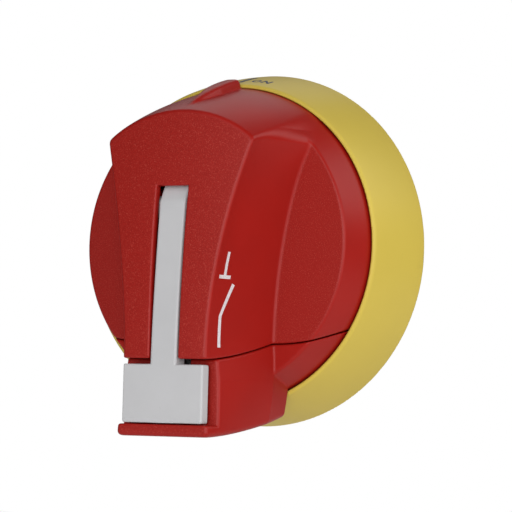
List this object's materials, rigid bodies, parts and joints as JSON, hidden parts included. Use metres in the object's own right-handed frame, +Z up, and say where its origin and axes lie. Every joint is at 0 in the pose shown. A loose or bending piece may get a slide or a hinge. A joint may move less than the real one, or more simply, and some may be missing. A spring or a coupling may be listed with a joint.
{
  "type": "rotary isolator switch",
  "caption": "Door-mounted rotary isolator handle with round collar, arched grip, pointer fin and a sprung pull-out padlock lever that bolts the handle in place.",
  "frame": {"origin": "centre of the collar's back face, where the handle's turning axis meets the door", "axes": "+Y runs into the door along the turning axis, +Z is up towards the pointer in the ON position, +X is to the right seen from the front"},
  "size_m": [0.095, 0.0697, 0.0981],
  "materials": {
    "yellow_plastic": "satin moulded thermoplastic",
    "red_plastic": "fine spark-eroded grain on the faces, smoother on the sides",
    "grey_plastic": "satin moulded thermoplastic",
    "black_rubber": "matt sealing rubber",
    "black_nylon": "matt moulded nylon",
    "zinc_steel": "zinc plated",
    "spring_steel": "bright spring steel",
    "brass": "turned brass"
  },
  "bodies": {
    "fixed": {"collar": "yellow_plastic", "door_gasket": "black_rubber", "threaded_insert_1": "brass", "threaded_insert_2": "brass", "threaded_insert_3": "brass", "threaded_insert_4": "brass", "catch_ring": "black_nylon", "ring_screw_1": "zinc_steel", "ring_screw_2": "zinc_steel", "ring_screw_3": "zinc_steel", "thrust_washer": "spring_steel"},
    "handle": {"handle_cover": "red_plastic", "handle_base": "red_plastic", "cover_screw_1": "zinc_steel", "cover_screw_2": "zinc_steel", "cover_screw_3": "zinc_steel", "cover_screw_4": "zinc_steel", "drive_hub": "zinc_steel", "hub_screw_1": "zinc_steel", "hub_screw_2": "zinc_steel", "hub_screw_3": "zinc_steel", "hub_o_ring": "black_rubber", "retaining_clip": "spring_steel", "lever_pin": "zinc_steel", "lever_spring": "spring_steel", "bolt_spring": "spring_steel"},
    "lever": {"padlock_lever": "grey_plastic"},
    "bolt": {"locking_bolt": "zinc_steel"}
  },
  "joints": [
    {"name": "handle_turn", "type": "hinge", "parent": "fixed", "child": "handle", "pos_m": [0, 0, 0], "axis": [0, -1, 0], "range_deg": [0, 90]},
    {"name": "lever_swing", "type": "hinge", "parent": "handle", "child": "lever", "pos_m": [0, -0.0465, 0.0086], "axis": [-1, 0, 0], "range_deg": [0, 30], "stiffness_Nm_per_rad": 0.05, "springref_deg": -11.46},
    {"name": "bolt_slide", "type": "slide", "parent": "handle", "child": "bolt", "axis": [0, 1, 0], "range_m": [0, 0.00624], "deforming": ["bolt_spring"]}
  ],
  "couplings": [
    {"joint": "bolt_slide", "follows": "lever_swing", "m_per_rad": 0.0119}
  ]
}
